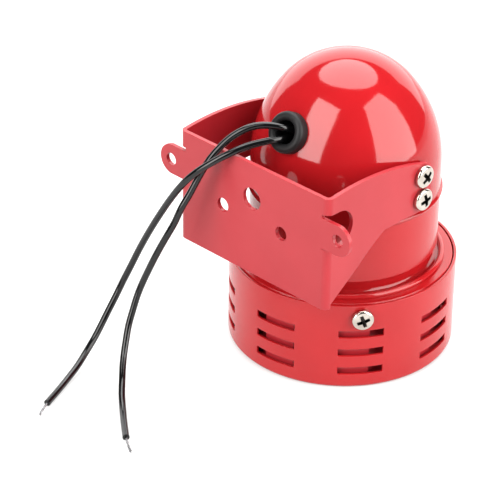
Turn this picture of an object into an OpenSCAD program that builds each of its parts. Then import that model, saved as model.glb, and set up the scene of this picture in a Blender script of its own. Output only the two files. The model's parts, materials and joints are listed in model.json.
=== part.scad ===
// Small motor siren: a slotted drum with an impeller, a domed motor housing and a wall bracket.
// Origin: centre of the drum's bottom face. +Z runs up the motor's axis, +Y faces the wall.

/* [Drum] */
// Outer radius of the slotted cover
drum_r = 40; // [38.5:0.5:42]
// Height of the slotted cover's rim
drum_h = 33; // [33:0.5:33.4]
// Sheet thickness of the slotted cover
cover_t = 1; // [0.8:0.1:1.2]
// Radius of the cover's bottom edge
cover_round = 1.5; // [1.3:0.1:2]
// Number of slot groups around the cover
slot_groups = 8; // [6:1:8]
// Slots above each other in one group
slot_rows = 3; // [2:1:3]
// Arc of one slot in degrees
slot_arc = 22.75; // [16:0.25:26]
// Height of one slot
slot_h = 2.75; // [2:0.25:3]
// Height of the lowest slot's lower edge
slot_z = 5.5; // [4.5:0.25:6]
// Distance between slot rows
slot_pitch = 7.35; // [6:0.05:7.35]
// Turn of the first slot group from the +X axis in degrees
slot_turn = 142.75; // [135:0.25:150]
// Height of the cover screws
cover_screw_z = 28; // [27.5:0.25:28.5]
// Number of cover screws
cover_screw_n = 3; // [2:1:4]

/* [Stator] */
// Outer radius of the ring with the fixed ports
stator_r = 38; // [37.6:0.1:38.2]
// Wall of the port ring
stator_t = 1.4; // [1:0.1:1.4]
// Ports in the stator ring and in the impeller
port_n = 9; // [6:1:10]
// Arc of one port in degrees
port_arc = 22.5; // [18:0.5:24]
// Turn of the first stator port's edge from the +X axis
port_turn = 147.5; // [140:0.5:155]

/* [Housing] */
// Outer radius of the body tube and of the dome
body_r = 33; // [32.5:0.1:33]
// Height of the body tube's lower edge above the ground
tube_z = 38; // [37:0.5:40]
// Height of the seam between the dome cap and the body tube
seam_z = 58.6; // [56:0.1:59]
// Height where the cap's straight wall turns into the dome
dome_z = 69; // [68.5:0.1:69.5]
// Height of the dome above its straight wall
dome_h = 39; // [38:0.5:40]
// Radius of the dome's crown
crown_r = 29.5; // [29:0.1:30]
// Wall of the cap
cap_t = 1; // [0.8:0.1:1]
// Radius of the bead at the cap's rim
bead_r = 0.8; // [0.5:0.05:0.85]
// Radius of the round ring on the drum's top plate
ring_r = 34.6; // [34:0.1:35]
// Half width of that ring
ring_half = 1.1; // [0.8:0.1:1.3]

/* [Bracket] */
// Distance of the wall face from the motor axis
wall_y = 46; // [45.5:0.5:48]
// Outside width over both arms
bracket_w = 69.1; // [69.1:0.1:70]
// Thickness of the bracket sheet
sheet_t = 1.5; // [1.2:0.1:1.5]
// Outer radius of the two bends
bend_r = 2.4; // [2:0.1:3]
// Height of the wall plate's lower edge
plate_z0 = 41.4; // [40:0.1:42]
// Height of the wall plate's upper edge
plate_z1 = 83.1; // [82:0.1:83.5]
// Distance of each small plate hole from the middle
small_hole_x = 13.6; // [12:0.1:16]
// Height of the small plate holes
small_hole_z = 62.3; // [60:0.1:63]
// Diameter of the small plate holes
small_hole_d = 5; // [4:0.1:5.5]
// Diameter of the large plate hole
large_hole_d = 8; // [7:0.1:9]
// Height of the large plate hole and of the ear holes
ear_z = 70; // [69.5:0.1:70.5]
// Distance of each ear hole from the middle
ear_hole_x = 38.8; // [38.5:0.1:40]
// Diameter of the ear holes
ear_hole_d = 4.5; // [4:0.1:5]
// Half height of an ear and radius of its round end
ear_half = 5.6; // [5.2:0.1:5.8]

/* [Screws] */
// Height of the lower bracket screw in each arm
arm_screw_z0 = 66.2; // [66:0.1:66.5]
// Height of the upper bracket screw in each arm
arm_screw_z1 = 74.9; // [74.7:0.1:75.1]
// Diameter of the cover and bracket screws
screw_d = 4; // [3.5:0.1:4]
// Head diameter of the cover and bracket screws
head_d = 8; // [7:0.1:8.2]
// Head height of the cover and bracket screws
head_h = 2.4; // [2:0.1:2.6]

/* [Grommet] */
// Angle of the grommet's axis above level in degrees
grommet_tilt = 26; // [24:1:28]
// Outer diameter of the grommet's fat ring
grommet_d = 14.3; // [13.5:0.1:15]
// Diameter of the grommet's hole
grommet_hole_d = 8; // [7.6:0.1:8.4]
// Diameter of the hole in the cap
grommet_seat_d = 10.4; // [10:0.1:11]

/* [Motor] */
// Radius of the motor can
can_r = 21; // [20.5:0.5:22]
// Wall of the motor can
can_t = 1.2; // [1:0.1:1.3]
// Height of the can's open rear end
can_z1 = 80; // [79.5:0.5:80]
// Radius of the armature core
core_r = 15.4; // [14.5:0.1:15.6]
// Armature slots
core_slots = 5; // [3:2:7]
// Diameter of the motor shaft
shaft_d = 5; // [4:0.5:5]
// Running clearance of the shaft in each bearing
bearing_gap = 0.03; // [0.02:0.01:0.06]

/* [Impeller] */
// Outer radius of the impeller
wheel_r = 35.9; // [35:0.1:36]
// Height of the impeller's lower edge
wheel_z0 = 3.5; // [3:0.5:4]
// Height of the impeller's upper face
wheel_z1 = 26.7; // [26:0.1:27]
// Wall of the impeller's rim
wheel_t = 1.2; // [1:0.1:1.4]
// Turn of the impeller at rest, with its walls behind the stator's ports, in degrees
wheel_turn = -3.75; // [-20:0.25:20]

/* [Wires] */
// Diameter of each wire over its insulation
wire_d = 2.4; // [2:0.1:2.4]
// Diameter of the bare strands
strand_d = 0.9; // [0.6:0.1:1.2]
// Length of the bare strands
strand_len = 5.5; // [4:0.5:7]

/* [Hidden] */
$fn = 96;
cut = 0.5;
screw_r = screw_d / 2;
shaft_r = shaft_d / 2;
wire_r = wire_d / 2;

// dome: a shoulder arc and a crown arc that meet without an edge
shoulder_r = (pow(body_r, 2) + pow(dome_h - crown_r, 2) - pow(crown_r, 2)) / (2 * (body_r - crown_r));
shoulder_x = body_r - shoulder_r;
crown_z = dome_z + dome_h - crown_r;
meet_angle = atan2(dome_h - crown_r, -shoulder_x);

// drum top plate, neck and skirt that carry the housing
plate_t = 1.5;
web_z = drum_h - plate_t;
skirt_r = drum_r - cover_t - 0.3;
skirt_t = 1.5;
skirt_z = 24.2;
neck_r = 31;
neck_t = 1.5;
neck_z1 = 50;
boss_hole_r = 7;

// body tube
tube_bore_r = neck_r + 0.02;
spigot_r = body_r - cap_t - 0.05;
spigot_z1 = dome_z + 0.5;

// inlet openings in the cover's bottom: two rings of arcs between spokes
cover_screw_len = 3.5;
inlet_n = 6;
inlet_arc = 46;
inlet_rings = [[9, 14.5], [16.5, 22]];

// bracket
half_w = bracket_w / 2;
arm_in = half_w - sheet_t;
arm_top_r = 105;
arm_top_y = 30;
arm_peak_z = plate_z1 + arm_top_r - sqrt(pow(arm_top_r, 2) - pow(wall_y - bend_r - arm_top_y, 2));
arm_top_z = arm_peak_z - arm_top_r + sqrt(pow(arm_top_r, 2) - pow(arm_top_y, 2));
arm_low_y = 18;
arm_low_z = 61.3;
arm_end_r = 4.9;
arm_curve_r = 75;
arm_curve_dy = 36.9;
arm_curve_dz = sqrt(pow(arm_curve_r, 2) - pow(arm_curve_dy, 2));
arm_screw_z = [arm_screw_z0, arm_screw_z1];
arm_nut_x = [30.6, 30.2];
window_y = 34.1;
window_gap = 0.8;
window_lift = 0.6;
ear_end_x = ear_hole_x - 0.4;

// grommet seat: a point on the shoulder arc
seat_y = shoulder_x + shoulder_r * cos(grommet_tilt);
seat_z = dome_z + shoulder_r * sin(grommet_tilt);
ring_w = (grommet_d - grommet_hole_d) / 4;
ring_lift = 1.7;
barrel_w = (grommet_seat_d - grommet_hole_d) / 2 - 0.05;
barrel_z0 = -4.2;
flange_w = 2.6;
flange_h = 2.4;

// motor stack heights
core_z = [43, 65];
coil_h = 5;
commutator_z = [71.5, 79];
commutator_r = 5;
brush_z = [73, 77];
brush_w = 4;
brush_len = 6.5;
brush_x = 7.75;
brush_gap = 0.05;
tunnel_w = brush_w + 2 * brush_gap;
holder_x = 12.25;
holder_len = 10.5;
holder_w = 6.4;
holder_z0 = 71.8;
spring_x = 11;
spring_len = 6;
spring_r = 1.7;
spring_wall = 0.6;
bell_t = 2.5;
bell_z1 = can_z1 + bell_t;
rear_boss_z1 = 90;
bearing_r = 4.5;
front_boss_z0 = 29.8;
motor_screw_x = 14;
tab_x = 10;
tab_y = 13;
tab_w = 4;
tab_t = 0.6;
tab_h = 11;
hub_z = [10, 29];
hub_r = 7;
washer_t = 0.8;
nut_h = 4;

// wire routes: from the motor's tabs through the grommet, over the wall plate and down to the ground
WIRE_A = [
    [10, 13.6, 86], [8, 17.5, 85.2], [4.5, 20.8, 84.9], [1.5, 24.4, 85.2], [0.4, 28, 86.2],
    [0, 31.5, 87.5], [2.5, 36.5, 87.2], [5.5, 41, 86.4], [8, 45.5, 85], [10.5, 49.5, 83],
    [14, 53, 80], [18, 55.5, 76], [22, 57, 71], [26.5, 57.5, 64.5], [30.5, 58, 58],
    [34, 59, 51.5], [37.5, 59.5, 45], [40.5, 60.5, 38.5], [42.5, 62, 32.5], [44.5, 64, 26.5],
    [45.5, 66.5, 21], [46, 69.5, 16.5], [46, 73, 12], [45.5, 77, 8], [44.5, 82, 5],
    [42.5, 87.5, 2.8], [40.5, 94, 1.5], [37.5, 101, 1.2], [34.5, 108.5, 1.2]];
WIRE_B = [
    [-10, 13.6, 86], [-8, 17.2, 86.2], [-5, 20.6, 86.6], [-2.2, 24.2, 87.6], [-0.8, 27.8, 89.6],
    [0.4, 31.4, 91.3], [4, 34.5, 92], [7.5, 37.5, 91.5], [10, 41, 90], [12.5, 44, 87.5],
    [14.5, 47, 84], [16.5, 49.5, 80], [18, 51.5, 75.5], [19, 53.5, 71.5], [20, 55.5, 67],
    [21.5, 58, 62.5], [22.5, 59.5, 57.5], [24, 61.5, 53], [26, 63, 48], [27.5, 65, 43],
    [29, 66.5, 38], [30.5, 68, 33], [31, 70, 28.5], [31, 72, 23.5], [31, 74, 19],
    [29.5, 76.5, 15], [28, 79, 11], [25.5, 82, 8], [22.5, 85, 5], [18.5, 89, 2.8],
    [13.5, 93, 1.5], [7.5, 98, 1.2], [1, 103, 1.2]];
wire_sides = 8;

// ---------- helpers ----------

// Ring between two radii and two heights
module ring(r_in, r_out, z0, z1) {
    difference() {
        translate([0, 0, z0]) cylinder(r = r_out, h = z1 - z0);
        translate([0, 0, z0 - cut]) cylinder(r = r_in, h = z1 - z0 + 2 * cut);
    }
}

// Arc-shaped block between two radii and two heights, centred on an angle
module arc_block(r_in, r_out, z0, z1, centre, arc) {
    rotate([0, 0, centre - arc / 2])
        rotate_extrude(angle = arc)
            translate([r_in, z0])
                square([r_out - r_in, z1 - z0]);
}

// Cross-recess pan head screw along +X: the head's seat lies at the origin and the shank runs to -X
module pan_screw(d, hd, hh, len) {
    edge = hh * 0.55;
    crown = hd * 1.1;
    rotate([0, 90, 0])
        difference() {
            union() {
                translate([0, 0, -len]) cylinder(d = d, h = len + cut);
                rotate_extrude()
                    intersection() {
                        union() {
                            square([hd / 2 - edge, hh]);
                            square([hd / 2, hh - edge]);
                            translate([hd / 2 - edge, hh - edge]) circle(edge);
                        }
                        translate([0, hh - crown]) circle(crown);
                        square([hd, hh]);
                    }
            }
            for (turn = [45, 135])
                rotate([0, 0, turn])
                    translate([-hd * 0.27, -hd * 0.065, hh * 0.35])
                        cube([hd * 0.54, hd * 0.13, hh]);
            translate([0, 0, hh * 0.2]) cylinder(d = hd * 0.22, h = hh);
        }
}

// Hexagon nut along +X with its bore
module hex_nut(across, bore_d, h) {
    rotate([0, 90, 0])
        difference() {
            cylinder(d = across / cos(30), h = h, $fn = 6);
            translate([0, 0, -cut]) cylinder(d = bore_d, h = h + 2 * cut);
        }
}

// ---------- drum ----------

module cup_area(r, h, z0, round_r) {
    translate([0, z0 + round_r]) square([r, h - round_r]);
    translate([0, z0]) square([r - round_r, h]);
    translate([r - round_r, z0 + round_r]) circle(round_r);
}

module slotted_cover() {
    color([0.86, 0.12, 0.14])
        difference() {
            rotate_extrude()
                difference() {
                    intersection() {
                        cup_area(drum_r, drum_h, 0, cover_round);
                        square([drum_r, drum_h]);
                    }
                    intersection() {
                        cup_area(drum_r - cover_t, drum_h + cut, cover_t, cover_round - cover_t);
                        square([drum_r, drum_h + cut]);
                    }
                }
            for (g = [0 : slot_groups - 1], row = [0 : slot_rows - 1])
                arc_block(drum_r - cover_t - cut, drum_r + cut, slot_z + row * slot_pitch,
                    slot_z + row * slot_pitch + slot_h, slot_turn + g * 360 / slot_groups, slot_arc);
            for (span = inlet_rings, i = [0 : inlet_n - 1])
                arc_block(span[0], span[1], -cut, cover_t + cut, i * 360 / inlet_n, inlet_arc);
            for (i = [0 : cover_screw_n - 1])
                rotate([0, 0, slot_turn + i * 360 / cover_screw_n])
                    translate([drum_r - 3, 0, cover_screw_z])
                        rotate([0, 90, 0]) cylinder(r = screw_r + 0.2, h = 6);
        }
}

module cover_screws() {
    color([0.82, 0.82, 0.84])
        for (i = [0 : cover_screw_n - 1])
            rotate([0, 0, slot_turn + i * 360 / cover_screw_n])
                translate([drum_r, 0, cover_screw_z])
                    pan_screw(screw_d, head_d - 0.4, head_h, cover_screw_len);
}

module stator_ring() {
    color([0.75, 0.1, 0.12])
        difference() {
            ring(stator_r - stator_t, stator_r, cover_t, skirt_z);
            for (i = [0 : port_n - 1])
                arc_block(stator_r - stator_t - cut, stator_r + cut, 4, 22,
                    port_turn + port_arc / 2 + i * 360 / port_n, port_arc);
        }
}

// ---------- housing ----------

module housing_base() {
    color([0.86, 0.12, 0.14])
        difference() {
            union() {
                ring(boss_hole_r, skirt_r, web_z, drum_h);
                ring(skirt_r - skirt_t, skirt_r, skirt_z, drum_h);
                ring(neck_r - neck_t, neck_r, web_z, neck_z1);
                rotate_extrude()
                    intersection() {
                        union() {
                            translate([ring_r, drum_h + 0.5]) circle(ring_half);
                            translate([ring_r - ring_half, drum_h - plate_t])
                                square([2 * ring_half, plate_t + 0.5]);
                        }
                        translate([0, web_z]) square([drum_r, 5]);
                    }
            }
            for (i = [0 : cover_screw_n - 1])
                rotate([0, 0, slot_turn + i * 360 / cover_screw_n])
                    translate([drum_r - 10, 0, cover_screw_z])
                        rotate([0, 90, 0]) cylinder(r = screw_r + 0.02, h = 12);
            for (side = [-1, 1])
                translate([side * motor_screw_x, 0, web_z - cut]) cylinder(r = 1.7, h = plate_t + 2 * cut);
        }
}

module body_tube() {
    color([0.86, 0.12, 0.14])
        difference() {
            union() {
                ring(tube_bore_r, body_r, tube_z, seam_z - 0.05);
                ring(tube_bore_r, spigot_r, tube_z, spigot_z1);
            }
            arm_screw_holes(screw_r + 0.2);
        }
}

// Area under the dome's outline, moved in by a wall
module dome_area(inset) {
    meet_z = dome_z + (shoulder_r - inset) * sin(meet_angle);
    translate([0, seam_z]) square([body_r - inset, dome_z - seam_z]);
    intersection() {
        translate([shoulder_x, dome_z]) circle(shoulder_r - inset);
        translate([0, dome_z]) square([body_r, meet_z - dome_z]);
    }
    intersection() {
        translate([0, crown_z]) circle(crown_r - inset);
        translate([0, meet_z]) square([body_r, dome_h]);
    }
}

module arm_screw_holes(r) {
    for (side = [-1, 1], z = arm_screw_z)
        translate([side * body_r, 0, z])
            rotate([0, 90, 0]) cylinder(r = r, h = 10, center = true);
}

module dome_cap() {
    color([0.86, 0.12, 0.14])
        difference() {
            rotate_extrude()
                difference() {
                    union() {
                        dome_area(0);
                        translate([body_r, seam_z + bead_r]) circle(bead_r);
                    }
                    dome_area(cap_t);
                    translate([0, seam_z - cut]) square([body_r - cap_t, 2 * cut]);
                }
            arm_screw_holes(screw_r + 0.2);
            translate([0, seat_y, seat_z])
                rotate([grommet_tilt - 90, 0, 0]) cylinder(d = grommet_seat_d, h = 12, center = true);
        }
}

module grommet() {
    color([0.12, 0.12, 0.13])
        difference() {
            translate([0, seat_y, seat_z])
                rotate([grommet_tilt - 90, 0, 0])
                    rotate_extrude()
                        translate([grommet_hole_d / 2, 0]) {
                            translate([ring_w, ring_lift]) circle(ring_w);
                            translate([0, -1]) square([2 * ring_w, ring_lift + 1]);
                            translate([0, barrel_z0]) square([barrel_w, -barrel_z0 - 0.2]);
                            translate([0, barrel_z0]) square([flange_w, flange_h]);
                        }
            difference() {
                rotate_extrude() dome_area(0);
                rotate_extrude() dome_area(cap_t + 0.05);
                translate([0, seat_y, seat_z])
                    rotate([grommet_tilt - 90, 0, 0])
                        cylinder(d = grommet_seat_d - 0.1, h = 12, center = true);
            }
        }
}

// ---------- bracket ----------

// Outline of one arm seen from the side, in y and z
module arm_area() {
    difference() {
        union() {
            intersection() {
                polygon([[wall_y, plate_z0], [wall_y, arm_peak_z], [0, arm_peak_z], [0, arm_low_z],
                    [arm_low_y, arm_low_z]]);
                translate([arm_top_y, arm_peak_z - arm_top_r]) circle(arm_top_r, $fn = 720);
            }
            translate([0, arm_low_z + arm_end_r]) circle(arm_end_r);
            translate([0, arm_top_z - arm_end_r]) circle(arm_end_r);
            translate([-arm_end_r, arm_low_z + arm_end_r])
                square([arm_end_r, arm_top_z - arm_low_z - 2 * arm_end_r]);
        }
        intersection() {
            translate([arm_low_y - arm_curve_dy, arm_low_z - arm_curve_dz]) circle(arm_curve_r);
            translate([arm_low_y, plate_z0 - cut]) square([wall_y, arm_low_z - plate_z0 + cut]);
        }
    }
}

module bracket() {
    color([0.86, 0.12, 0.14])
        difference() {
            union() {
                difference() {
                    translate([0, 0, plate_z0])
                        linear_extrude(arm_peak_z - plate_z0)
                            difference() {
                                rounded_channel(half_w, wall_y, bend_r);
                                rounded_channel(arm_in, wall_y - sheet_t, bend_r - sheet_t);
                            }
                    for (side = [-1, 1])
                        arm_waste(side);
                    translate([-half_w - cut, wall_y - bend_r, plate_z1])
                        cube([bracket_w + 2 * cut, bend_r + cut, 5]);
                }
                for (side = [-1, 1])
                    ear(side);
            }
            translate([0, wall_y, ear_z]) wall_hole(large_hole_d);
            for (side = [-1, 1]) {
                translate([side * small_hole_x, wall_y, small_hole_z]) wall_hole(small_hole_d);
                translate([side * ear_hole_x, wall_y, ear_z]) wall_hole(ear_hole_d);
                for (z = arm_screw_z)
                    translate([side * half_w, 0, z])
                        rotate([0, 90, 0]) cylinder(r = screw_r + 0.2, h = 6, center = true);
            }
        }
}

// Plan of the bracket, closed towards +Y with two rounded corners
module rounded_channel(half, front, r) {
    translate([-half, -10]) square([2 * half, front + 10 - r]);
    translate([r - half, -10]) square([2 * (half - r), front + 10]);
    for (side = [-1, 1])
        translate([side * (half - r), front - r]) circle(r);
}

// Everything that is cut from one arm: the space around its outline and the window behind the ear
module arm_waste(side) {
    window_half = ear_half + window_gap;
    translate([side * (half_w - bend_r), 0, 0])
        rotate([90, 0, 90])
            linear_extrude(2 * (bend_r + cut), center = true)
                difference() {
                    translate([-20, plate_z0 - cut])
                        square([20 + wall_y - bend_r, arm_peak_z - plate_z0 + 2 * cut]);
                    arm_area();
                }
    translate([side * half_w, 0, ear_z + window_lift])
        rotate([90, 0, 90])
            linear_extrude(2 * (bend_r + cut), center = true) {
                translate([window_y + window_half, -window_half])
                    square([wall_y - window_y - window_half + cut, 2 * window_half]);
                translate([window_y + window_half, 0]) circle(window_half);
            }
}

module ear(side) {
    root = half_w - bend_r - cut;
    mirror([side < 0 ? 1 : 0, 0, 0])
        translate([0, wall_y, ear_z])
            rotate([90, 0, 0])
                linear_extrude(sheet_t) {
                    translate([root, -ear_half]) square([ear_end_x - root, 2 * ear_half]);
                    translate([ear_end_x, 0]) circle(ear_half);
                }
}

module wall_hole(d) {
    rotate([90, 0, 0]) cylinder(d = d, h = 8, center = true);
}

module bracket_screws() {
    color([0.82, 0.82, 0.84])
        for (side = [-1, 1], z = arm_screw_z)
            translate([side * half_w, 0, z])
                rotate([0, 0, side < 0 ? 180 : 0]) pan_screw(screw_d, head_d, head_h, 8);
}

module bracket_nuts() {
    color([0.78, 0.78, 0.8])
        for (side = [-1, 1], i = [0, 1])
            translate([side * arm_nut_x[i], 0, arm_screw_z[i]])
                rotate([0, 0, side < 0 ? 0 : 180]) hex_nut(7, screw_d + 0.02, 3.2);
}

// ---------- wires ----------

function unit(v) = v / norm(v);
function along(p, i) = unit(p[min(i + 1, len(p) - 1)] - p[max(i - 1, 0)]);
function side_of(t) = unit(cross(t, [1, 0, 0]));
function turned(a, s, u) = cos(a) * s + sin(a) * u;
function ring_points(p, t, r) = let (s = side_of(t), u = cross(t, s))
    [for (k = [0 : wire_sides - 1]) p + r * turned(360 * k / wire_sides, s, u)];
function tube_points(p, r) = [for (i = [0 : len(p) - 1], q = ring_points(p[i], along(p, i), r)) q];
function tube_faces(n) = concat(
    [[for (k = [0 : wire_sides - 1]) k]],
    [for (i = [0 : n - 2], k = [0 : wire_sides - 1])
        [i * wire_sides + k, (i + 1) * wire_sides + k,
            (i + 1) * wire_sides + (k + 1) % wire_sides, i * wire_sides + (k + 1) % wire_sides]],
    [[for (k = [wire_sides - 1 : -1 : 0]) (n - 1) * wire_sides + k]]);

module wire(route) {
    color([0.08, 0.08, 0.09])
        polyhedron(points = tube_points(route, wire_r), faces = tube_faces(len(route)), convexity = 6);
}

// Bare strands that go on from a route's last point
module strands(route) {
    last = route[len(route) - 1];
    t = along(route, len(route) - 1);
    color([0.85, 0.85, 0.87])
        translate(last)
            rotate([0, 90, atan2(t[1], t[0])]) cylinder(d = strand_d, h = strand_len);
}

module wire_a() {
    wire(WIRE_A);
}

module wire_b() {
    wire(WIRE_B);
}

module wire_a_strands() {
    strands(WIRE_A);
}

module wire_b_strands() {
    strands(WIRE_B);
}

// ---------- motor, fixed pieces ----------

module motor_can() {
    color([0.7, 0.71, 0.73])
        difference() {
            union() {
                translate([0, 0, drum_h]) cylinder(r = can_r, h = can_z1 - drum_h);
                translate([0, 0, front_boss_z0])
                    cylinder(r = boss_hole_r - 0.5, h = drum_h - front_boss_z0 + cut);
            }
            translate([0, 0, drum_h + can_t]) cylinder(r = can_r - can_t, h = can_z1);
            translate([0, 0, front_boss_z0 - cut]) cylinder(r = bearing_r, h = 10);
            for (side = [-1, 1])
                translate([side * motor_screw_x, 0, drum_h - cut]) cylinder(r = 1.52, h = 3);
        }
}

module magnets() {
    color([0.25, 0.25, 0.26])
        for (centre = [90, 270])
            arc_block(core_r + 0.8, can_r - can_t - 0.05, core_z[0] - 3, core_z[1] + 3, centre, 130);
}

module end_bell() {
    color([0.14, 0.14, 0.15])
        difference() {
            union() {
                translate([0, 0, can_z1]) cylinder(r = can_r, h = bell_t);
                ring(can_r - can_t - 1.4, can_r - can_t - 0.1, can_z1 - 3, can_z1 + cut);
                translate([0, 0, bell_z1 - cut]) cylinder(r = boss_hole_r, h = rear_boss_z1 - bell_z1 + cut);
                for (side = [-1, 1])
                    translate([side * holder_x - holder_len / 2, -holder_w / 2, holder_z0])
                        cube([holder_len, holder_w, bell_z1 - holder_z0 - cut]);
            }
            translate([0, 0, brush_z[0] - 2]) cylinder(r = shaft_r + 0.6, h = 30);
            translate([0, 0, bell_z1 + 1.5]) cylinder(r = bearing_r, h = 10);
            for (side = [-1, 1]) {
                translate([side * holder_x - holder_len / 2 - 1, -tunnel_w / 2, brush_z[0] - brush_gap])
                    cube([holder_len + 2, tunnel_w, brush_z[1] - brush_z[0] + 2 * brush_gap]);
                translate([side * tab_x - tab_w / 2 - brush_gap, tab_y - brush_gap, can_z1 - cut])
                    cube([tab_w + 2 * brush_gap, tab_t + 2 * brush_gap, bell_t + 2 * cut]);
            }
        }
}

module brushes() {
    color([0.2, 0.2, 0.22])
        for (side = [-1, 1])
            difference() {
                translate([side * brush_x - brush_len / 2, -brush_w / 2, brush_z[0]])
                    cube([brush_len, brush_w, brush_z[1] - brush_z[0]]);
                translate([0, 0, brush_z[0] - cut]) cylinder(r = commutator_r + 0.05, h = 6);
            }
}

module brush_springs() {
    color([0.75, 0.75, 0.77])
        for (side = [-1, 1])
            rotate([0, 0, side < 0 ? 180 : 0])
                translate([spring_x, 0, (brush_z[0] + brush_z[1]) / 2])
                    rotate([0, 90, 0])
                        difference() {
                            cylinder(r = spring_r, h = spring_len);
                            translate([0, 0, -cut])
                                cylinder(r = spring_r - spring_wall, h = spring_len + 2 * cut);
                        }
}

module terminals() {
    color([0.8, 0.66, 0.3])
        for (side = [-1, 1])
            translate([side * tab_x - tab_w / 2, tab_y, can_z1 - 2]) cube([tab_w, tab_t, tab_h]);
}

module front_bearing() {
    color([0.72, 0.55, 0.3]) ring(shaft_r + bearing_gap, bearing_r, front_boss_z0, front_boss_z0 + 6);
}

module rear_bearing() {
    color([0.72, 0.55, 0.3]) ring(shaft_r + bearing_gap, bearing_r, bell_z1 + 1.5, rear_boss_z1);
}

module motor_screws() {
    color([0.8, 0.8, 0.82])
        for (side = [-1, 1])
            translate([side * motor_screw_x, 0, web_z])
                rotate([0, 90, 0]) pan_screw(3, 5.6, 2, 5.5);
}

// ---------- motor, turning pieces ----------

module motor_shaft() {
    color([0.78, 0.79, 0.8]) translate([0, 0, 4]) cylinder(r = shaft_r, h = 87);
}

module armature_core() {
    slot_w = 2;
    color([0.45, 0.46, 0.48])
        difference() {
            ring(shaft_r, core_r, core_z[0], core_z[1]);
            for (i = [0 : core_slots - 1])
                rotate([0, 0, i * 360 / core_slots]) {
                    translate([10, 0, core_z[0] - cut]) cylinder(r = 3, h = 30);
                    translate([11, -slot_w / 2, core_z[0] - cut]) cube([10, slot_w, 30]);
                }
        }
}

module armature_coils() {
    color([0.72, 0.4, 0.2]) {
        for (z = [core_z[0] - coil_h, core_z[1]])
            rotate_extrude()
                translate([shaft_r + 2, z]) {
                    translate([0, 1]) square([10, coil_h - 2]);
                    translate([1, 0]) square([8, coil_h]);
                }
        for (i = [0 : core_slots - 1])
            rotate([0, 0, i * 360 / core_slots])
                translate([10, 0, core_z[0] - cut]) cylinder(r = 2.7, h = core_z[1] - core_z[0] + 2 * cut);
    }
}

module commutator() {
    color([0.72, 0.45, 0.25])
        difference() {
            ring(shaft_r, commutator_r, commutator_z[0], commutator_z[1]);
            for (i = [0 : core_slots - 1])
                rotate([0, 0, i * 360 / core_slots])
                    translate([commutator_r - 1, -0.25, commutator_z[0] - cut]) cube([2, 0.5, 10]);
        }
}

module impeller() {
    color([0.6, 0.1, 0.12])
        rotate([0, 0, wheel_turn])
            difference() {
                union() {
                    ring(shaft_r, wheel_r, wheel_z1 - wheel_t, wheel_z1);
                    ring(wheel_r - wheel_t, wheel_r, wheel_z0, wheel_z1);
                    ring(24, wheel_r, wheel_z0, wheel_z0 + wheel_t);
                    ring(shaft_r, hub_r, hub_z[0], hub_z[1]);
                    for (i = [0 : port_n - 1])
                        rotate([0, 0, i * 360 / port_n])
                            translate([hub_r - 1, -0.6, hub_z[0] - 4])
                                cube([wheel_r - hub_r, 1.2, wheel_z1 - hub_z[0] + 3]);
                }
                for (i = [0 : port_n - 1])
                    arc_block(wheel_r - wheel_t - cut, wheel_r + cut, wheel_z0 + 2, wheel_z1 - 2,
                        (i + 0.5) * 360 / port_n, port_arc);
                translate([0, 0, wheel_z0]) cylinder(r = hub_r - 0.5, h = hub_z[0] - wheel_z0);
            }
}

module impeller_washer() {
    color([0.78, 0.78, 0.8]) ring(shaft_r + 0.1, 5.5, hub_z[0] - washer_t, hub_z[0]);
}

module impeller_nut() {
    color([0.78, 0.78, 0.8])
        translate([0, 0, hub_z[0] - washer_t])
            rotate([0, 90, 0]) hex_nut(8, shaft_d + 0.02, nut_h);
}

slotted_cover();
cover_screws();
stator_ring();
housing_base();
body_tube();
dome_cap();
bracket();
bracket_screws();
bracket_nuts();
grommet();
wire_a();
wire_b();
wire_a_strands();
wire_b_strands();
motor_can();
magnets();
end_bell();
brushes();
brush_springs();
terminals();
front_bearing();
rear_bearing();
motor_screws();
motor_shaft();
armature_core();
armature_coils();
commutator();
impeller();
impeller_washer();
impeller_nut();
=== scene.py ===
import json
from math import atan2, cos, degrees, pi, radians, sin, sqrt

import bmesh
import bpy
from bpy.props import FloatProperty, FloatVectorProperty, PointerProperty
from mathutils import Matrix, Vector

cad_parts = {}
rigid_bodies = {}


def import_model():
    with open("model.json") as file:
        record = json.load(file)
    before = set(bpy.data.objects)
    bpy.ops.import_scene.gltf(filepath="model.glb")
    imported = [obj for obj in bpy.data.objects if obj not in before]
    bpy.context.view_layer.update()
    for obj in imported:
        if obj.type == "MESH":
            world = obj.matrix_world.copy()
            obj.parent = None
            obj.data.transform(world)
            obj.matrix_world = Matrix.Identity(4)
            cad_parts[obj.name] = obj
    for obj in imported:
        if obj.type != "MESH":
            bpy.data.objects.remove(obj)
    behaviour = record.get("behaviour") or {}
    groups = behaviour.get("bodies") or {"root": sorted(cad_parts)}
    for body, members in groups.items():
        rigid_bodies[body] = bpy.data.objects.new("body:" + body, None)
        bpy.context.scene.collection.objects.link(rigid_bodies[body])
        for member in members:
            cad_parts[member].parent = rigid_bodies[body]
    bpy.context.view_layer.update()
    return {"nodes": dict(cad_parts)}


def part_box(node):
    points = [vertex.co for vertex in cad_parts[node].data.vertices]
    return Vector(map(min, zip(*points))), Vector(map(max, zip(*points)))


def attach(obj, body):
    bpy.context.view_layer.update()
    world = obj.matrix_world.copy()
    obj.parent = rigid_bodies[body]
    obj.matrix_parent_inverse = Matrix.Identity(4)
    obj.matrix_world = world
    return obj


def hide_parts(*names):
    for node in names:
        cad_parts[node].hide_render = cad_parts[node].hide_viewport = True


bl_info = {
    "name": "Motor Siren",
    "version": (1, 0, 0),
    "blender": (4, 5, 0),
    "location": "3D View > Sidebar > Siren",
    "description": "Builds the pieces, finishes and studio of a small motor siren around its CAD frame",
    "category": "Object",
}

# the scene that Blender starts with is emptied first
for left_over in list(bpy.data.objects):
    bpy.data.objects.remove(left_over)
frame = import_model()
NODES = frame["nodes"]

MM = 0.001
MERGE = 1e-6  # metres; vertices nearer than this are one

# ---------- main sizes in millimetres, the same as the CAD's ----------

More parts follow.
